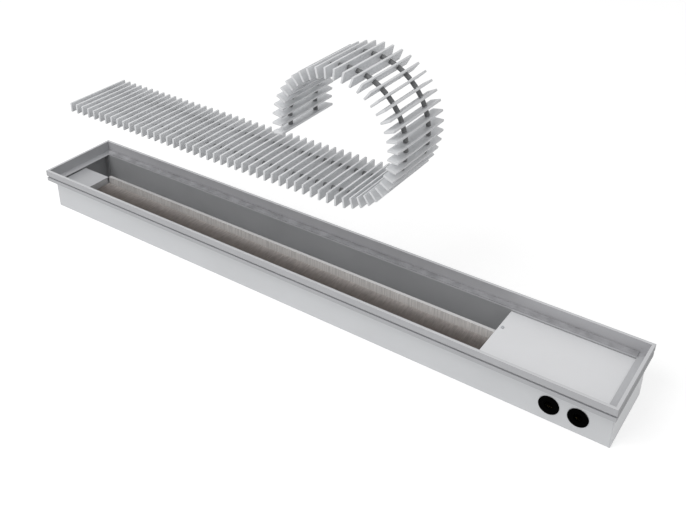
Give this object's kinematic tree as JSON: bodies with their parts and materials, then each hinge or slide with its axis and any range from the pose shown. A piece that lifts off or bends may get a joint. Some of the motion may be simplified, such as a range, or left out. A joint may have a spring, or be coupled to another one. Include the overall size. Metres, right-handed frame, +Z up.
{
  "type": "trench convector heater",
  "caption": "Trench convector heater for a floor, with its heat exchanger, valves and covers, and a roll-up grille lifted off and partly rolled.",
  "frame": {"origin": "centre of the trough's plan, at its underside", "axes": "+X along the trough towards the pipe connections, +Y from the wall with the pipe entries to the one behind it, +Z up"},
  "size_m": [1.27, 0.181, 0.5036],
  "materials": {
    "trough_sheet": "satin pale grey coated steel sheet",
    "cover_sheet": "satin pale grey coated steel sheet",
    "frame_profile": "natural anodised, matt",
    "grille_slat": "natural anodised, matt",
    "grille_sleeve": "matt grey",
    "fin_sheet": "mill-finish thin sheet",
    "copper_tube": "drawn copper, slightly dulled",
    "valve_brass": "turned brass",
    "cap_plastic": "fine-grained black",
    "grommet_rubber": "matt black",
    "strip_rubber": "matt grey",
    "steel_fixings": "zinc plated"
  },
  "bodies": {
    "trough": {"trough_shell": "trough_sheet", "end_wall_left": "trough_sheet", "end_wall_right": "trough_sheet", "frame_front_bar": "frame_profile", "frame_back_bar": "frame_profile", "frame_left_bar": "frame_profile", "frame_right_bar": "frame_profile", "frame_corner_keys": "steel_fixings", "frame_rivets": "steel_fixings", "rest_strips": "strip_rubber", "partition_plate": "trough_sheet", "pipe_grommets": "grommet_rubber", "exchanger_tubes": "copper_tube", "exchanger_fins": "fin_sheet", "exchanger_brackets": "trough_sheet", "flow_valve": "valve_brass", "return_valve": "valve_brass", "bleed_valve": "valve_brass"},
    "end_cover": {"end_cover": "cover_sheet"},
    "connection_cover": {"connection_cover": "cover_sheet"},
    "cover_screw": {"cover_screw": "steel_fixings"},
    "valve_cap": {"valve_cap": "cap_plastic"},
    "return_spindle": {"return_spindle": "steel_fixings"},
    "bleed_screw": {"bleed_screw": "steel_fixings"},
    "grille": {"grille_slats": "grille_slat", "grille_sleeves": "grille_sleeve", "grille_springs": "steel_fixings"},
    "curled_slat_1": {"curled_slat_1": "grille_slat"},
    "curled_slat_2": {"curled_slat_2": "grille_slat"},
    "curled_slat_3": {"curled_slat_3": "grille_slat"},
    "curled_slat_4": {"curled_slat_4": "grille_slat"},
    "curled_slat_5": {"curled_slat_5": "grille_slat"},
    "curled_slat_6": {"curled_slat_6": "grille_slat"},
    "curled_slat_7": {"curled_slat_7": "grille_slat"},
    "curled_slat_8": {"curled_slat_8": "grille_slat"},
    "curled_slat_9": {"curled_slat_9": "grille_slat"},
    "curled_slat_10": {"curled_slat_10": "grille_slat"},
    "curled_slat_11": {"curled_slat_11": "grille_slat"},
    "curled_slat_12": {"curled_slat_12": "grille_slat"},
    "curled_slat_13": {"curled_slat_13": "grille_slat"},
    "curled_slat_14": {"curled_slat_14": "grille_slat"},
    "curled_slat_15": {"curled_slat_15": "grille_slat"},
    "curled_slat_16": {"curled_slat_16": "grille_slat"},
    "curled_slat_17": {"curled_slat_17": "grille_slat"},
    "curled_slat_18": {"curled_slat_18": "grille_slat"},
    "curled_slat_19": {"curled_slat_19": "grille_slat"},
    "curled_slat_20": {"curled_slat_20": "grille_slat"},
    "curled_slat_21": {"curled_slat_21": "grille_slat"},
    "curled_slat_22": {"curled_slat_22": "grille_slat"},
    "curled_slat_23": {"curled_slat_23": "grille_slat"},
    "curled_slat_24": {"curled_slat_24": "grille_slat"},
    "curled_slat_25": {"curled_slat_25": "grille_slat"},
    "curled_slat_26": {"curled_slat_26": "grille_slat"},
    "curled_slat_27": {"curled_slat_27": "grille_slat"},
    "curled_slat_28": {"curled_slat_28": "grille_slat"},
    "curled_slat_29": {"curled_slat_29": "grille_slat"},
    "curled_slat_30": {"curled_slat_30": "grille_slat"},
    "curled_slat_31": {"curled_slat_31": "grille_slat"},
    "curled_slat_32": {"curled_slat_32": "grille_slat"},
    "curled_slat_33": {"curled_slat_33": "grille_slat"}
  },
  "joints": [
    {"name": "grille_lower", "type": "slide", "parent": "trough", "child": "grille", "axis": [0.361, 0, 0.9326], "range_m": [-0.19559, 0]},
    {"name": "end_cover_lift", "type": "slide", "parent": "trough", "child": "end_cover", "axis": [0, 0, 1], "range_m": [0, 0.12]},
    {"name": "connection_cover_lift", "type": "slide", "parent": "trough", "child": "connection_cover", "axis": [0, 0, 1], "range_m": [0, 0.12]},
    {"name": "cover_screw_turn", "type": "hinge", "parent": "connection_cover", "child": "cover_screw", "pos_m": [0.4025, 0.0188, 0.068], "axis": [0, 0, 1], "range_deg": [0, 90]},
    {"name": "valve_cap_turn", "type": "hinge", "parent": "trough", "child": "valve_cap", "pos_m": [0.5272, -0.04675, 0.0477], "axis": [0, 0, 1], "range_deg": [0, 330]},
    {"name": "return_spindle_turn", "type": "hinge", "parent": "trough", "child": "return_spindle", "pos_m": [0.5749, -0.01875, 0.05], "axis": [0, 0, 1], "range_deg": [0, 360]},
    {"name": "bleed_screw_turn", "type": "hinge", "parent": "trough", "child": "bleed_screw", "pos_m": [-0.5521, -0.04675, 0.05], "axis": [0, 0, 1], "range_deg": [0, 180]},
    {"name": "grille_unroll", "type": "hinge", "parent": "grille", "child": "curled_slat_1", "pos_m": [0.12415, 0, 0.2653], "axis": [0, -1, 0], "range_deg": [-8.4, 0]},
    {"name": "grille_unroll_2", "type": "hinge", "parent": "curled_slat_1", "child": "curled_slat_2", "pos_m": [0.14082, 0, 0.26776], "axis": [0, -1, 0], "range_deg": [-8.4, 0]},
    {"name": "grille_unroll_3", "type": "hinge", "parent": "curled_slat_2", "child": "curled_slat_3", "pos_m": [0.15695, 0, 0.27263], "axis": [0, -1, 0], "range_deg": [-8.4, 0]},
    {"name": "grille_unroll_4", "type": "hinge", "parent": "curled_slat_3", "child": "curled_slat_4", "pos_m": [0.1722, 0, 0.27981], "axis": [0, -1, 0], "range_deg": [-8.4, 0]},
    {"name": "grille_unroll_5", "type": "hinge", "parent": "curled_slat_4", "child": "curled_slat_5", "pos_m": [0.18623, 0, 0.28913], "axis": [0, -1, 0], "range_deg": [-8.4, 0]},
    {"name": "grille_unroll_6", "type": "hinge", "parent": "curled_slat_5", "child": "curled_slat_6", "pos_m": [0.19875, 0, 0.30041], "axis": [0, -1, 0], "range_deg": [-8.4, 0]},
    {"name": "grille_unroll_7", "type": "hinge", "parent": "curled_slat_6", "child": "curled_slat_7", "pos_m": [0.20949, 0, 0.31339], "axis": [0, -1, 0], "range_deg": [-8.4, 0]},
    {"name": "grille_unroll_8", "type": "hinge", "parent": "curled_slat_7", "child": "curled_slat_8", "pos_m": [0.21822, 0, 0.3278], "axis": [0, -1, 0], "range_deg": [-8.4, 0]},
    {"name": "grille_unroll_9", "type": "hinge", "parent": "curled_slat_8", "child": "curled_slat_9", "pos_m": [0.22475, 0, 0.34334], "axis": [0, -1, 0], "range_deg": [-8.4, 0]},
    {"name": "grille_unroll_10", "type": "hinge", "parent": "curled_slat_9", "child": "curled_slat_10", "pos_m": [0.22894, 0, 0.35966], "axis": [0, -1, 0], "range_deg": [-8.4, 0]},
    {"name": "grille_unroll_11", "type": "hinge", "parent": "curled_slat_10", "child": "curled_slat_11", "pos_m": [0.2307, 0, 0.37641], "axis": [0, -1, 0], "range_deg": [-8.4, 0]},
    {"name": "grille_unroll_12", "type": "hinge", "parent": "curled_slat_11", "child": "curled_slat_12", "pos_m": [0.23, 0, 0.39325], "axis": [0, -1, 0], "range_deg": [-8.4, 0]},
    {"name": "grille_unroll_13", "type": "hinge", "parent": "curled_slat_12", "child": "curled_slat_13", "pos_m": [0.22684, 0, 0.4098], "axis": [0, -1, 0], "range_deg": [-8.4, 0]},
    {"name": "grille_unroll_14", "type": "hinge", "parent": "curled_slat_13", "child": "curled_slat_14", "pos_m": [0.2213, 0, 0.42571], "axis": [0, -1, 0], "range_deg": [-8.4, 0]},
    {"name": "grille_unroll_15", "type": "hinge", "parent": "curled_slat_14", "child": "curled_slat_15", "pos_m": [0.21349, 0, 0.44065], "axis": [0, -1, 0], "range_deg": [-8.4, 0]},
    {"name": "grille_unroll_16", "type": "hinge", "parent": "curled_slat_15", "child": "curled_slat_16", "pos_m": [0.20359, 0, 0.45428], "axis": [0, -1, 0], "range_deg": [-8.4, 0]},
    {"name": "grille_unroll_17", "type": "hinge", "parent": "curled_slat_16", "child": "curled_slat_17", "pos_m": [0.1918, 0, 0.46632], "axis": [0, -1, 0], "range_deg": [-8.4, 0]},
    {"name": "grille_unroll_18", "type": "hinge", "parent": "curled_slat_17", "child": "curled_slat_18", "pos_m": [0.17838, 0, 0.4765], "axis": [0, -1, 0], "range_deg": [-8.4, 0]},
    {"name": "grille_unroll_19", "type": "hinge", "parent": "curled_slat_18", "child": "curled_slat_19", "pos_m": [0.16361, 0, 0.48462], "axis": [0, -1, 0], "range_deg": [-8.4, 0]},
    {"name": "grille_unroll_20", "type": "hinge", "parent": "curled_slat_19", "child": "curled_slat_20", "pos_m": [0.14782, 0, 0.4905], "axis": [0, -1, 0], "range_deg": [-8.4, 0]},
    {"name": "grille_unroll_21", "type": "hinge", "parent": "curled_slat_20", "child": "curled_slat_21", "pos_m": [0.13134, 0, 0.494], "axis": [0, -1, 0], "range_deg": [-8.4, 0]},
    {"name": "grille_unroll_22", "type": "hinge", "parent": "curled_slat_21", "child": "curled_slat_22", "pos_m": [0.11452, 0, 0.49506], "axis": [0, -1, 0], "range_deg": [-8.4, 0]},
    {"name": "grille_unroll_23", "type": "hinge", "parent": "curled_slat_22", "child": "curled_slat_23", "pos_m": [0.09773, 0, 0.49365], "axis": [0, -1, 0], "range_deg": [-8.4, 0]},
    {"name": "grille_unroll_24", "type": "hinge", "parent": "curled_slat_23", "child": "curled_slat_24", "pos_m": [0.08132, 0, 0.4898], "axis": [0, -1, 0], "range_deg": [-8.4, 0]},
    {"name": "grille_unroll_25", "type": "hinge", "parent": "curled_slat_24", "child": "curled_slat_25", "pos_m": [0.06566, 0, 0.48359], "axis": [0, -1, 0], "range_deg": [-8.4, 0]},
    {"name": "grille_unroll_26", "type": "hinge", "parent": "curled_slat_25", "child": "curled_slat_26", "pos_m": [0.05106, 0, 0.47517], "axis": [0, -1, 0], "range_deg": [-8.4, 0]},
    {"name": "grille_unroll_27", "type": "hinge", "parent": "curled_slat_26", "child": "curled_slat_27", "pos_m": [0.03786, 0, 0.4647], "axis": [0, -1, 0], "range_deg": [-8.4, 0]},
    {"name": "grille_unroll_28", "type": "hinge", "parent": "curled_slat_27", "child": "curled_slat_28", "pos_m": [0.02633, 0, 0.45242], "axis": [0, -1, 0], "range_deg": [-8.4, 0]},
    {"name": "grille_unroll_29", "type": "hinge", "parent": "curled_slat_28", "child": "curled_slat_29", "pos_m": [0.01671, 0, 0.43859], "axis": [0, -1, 0], "range_deg": [-8.4, 0]},
    {"name": "grille_unroll_30", "type": "hinge", "parent": "curled_slat_29", "child": "curled_slat_30", "pos_m": [0.00922, 0, 0.42349], "axis": [0, -1, 0], "range_deg": [-8.4, 0]},
    {"name": "grille_unroll_31", "type": "hinge", "parent": "curled_slat_30", "child": "curled_slat_31", "pos_m": [0.00401, 0, 0.40747], "axis": [0, -1, 0], "range_deg": [-8.4, 0]},
    {"name": "grille_unroll_32", "type": "hinge", "parent": "curled_slat_31", "child": "curled_slat_32", "pos_m": [0.0012, 0, 0.39085], "axis": [0, -1, 0], "range_deg": [-8.4, 0]},
    {"name": "grille_unroll_33", "type": "hinge", "parent": "curled_slat_32", "child": "curled_slat_33", "pos_m": [0.00085, 0, 0.37401], "axis": [0, -1, 0], "range_deg": [-8.4, 0]}
  ],
  "couplings": [
    {"joint": "grille_unroll_2", "follows": "grille_unroll", "ratio": 1},
    {"joint": "grille_unroll_3", "follows": "grille_unroll", "ratio": 1},
    {"joint": "grille_unroll_4", "follows": "grille_unroll", "ratio": 1},
    {"joint": "grille_unroll_5", "follows": "grille_unroll", "ratio": 1},
    {"joint": "grille_unroll_6", "follows": "grille_unroll", "ratio": 1},
    {"joint": "grille_unroll_7", "follows": "grille_unroll", "ratio": 1},
    {"joint": "grille_unroll_8", "follows": "grille_unroll", "ratio": 1},
    {"joint": "grille_unroll_10", "follows": "grille_unroll_9", "ratio": 1},
    {"joint": "grille_unroll_11", "follows": "grille_unroll_9", "ratio": 1},
    {"joint": "grille_unroll_12", "follows": "grille_unroll_9", "ratio": 1},
    {"joint": "grille_unroll_13", "follows": "grille_unroll_9", "ratio": 1},
    {"joint": "grille_unroll_14", "follows": "grille_unroll_9", "ratio": 1},
    {"joint": "grille_unroll_15", "follows": "grille_unroll_9", "ratio": 1},
    {"joint": "grille_unroll_16", "follows": "grille_unroll_9", "ratio": 1},
    {"joint": "grille_unroll_18", "follows": "grille_unroll_17", "ratio": 1},
    {"joint": "grille_unroll_19", "follows": "grille_unroll_17", "ratio": 1},
    {"joint": "grille_unroll_20", "follows": "grille_unroll_17", "ratio": 1},
    {"joint": "grille_unroll_21", "follows": "grille_unroll_17", "ratio": 1},
    {"joint": "grille_unroll_22", "follows": "grille_unroll_17", "ratio": 1},
    {"joint": "grille_unroll_23", "follows": "grille_unroll_17", "ratio": 1},
    {"joint": "grille_unroll_24", "follows": "grille_unroll_17", "ratio": 1},
    {"joint": "grille_unroll_26", "follows": "grille_unroll_25", "ratio": 1},
    {"joint": "grille_unroll_27", "follows": "grille_unroll_25", "ratio": 1},
    {"joint": "grille_unroll_28", "follows": "grille_unroll_25", "ratio": 1},
    {"joint": "grille_unroll_29", "follows": "grille_unroll_25", "ratio": 1},
    {"joint": "grille_unroll_30", "follows": "grille_unroll_25", "ratio": 1},
    {"joint": "grille_unroll_31", "follows": "grille_unroll_25", "ratio": 1},
    {"joint": "grille_unroll_32", "follows": "grille_unroll_25", "ratio": 1},
    {"joint": "grille_unroll_33", "follows": "grille_unroll_25", "ratio": 1}
  ]
}
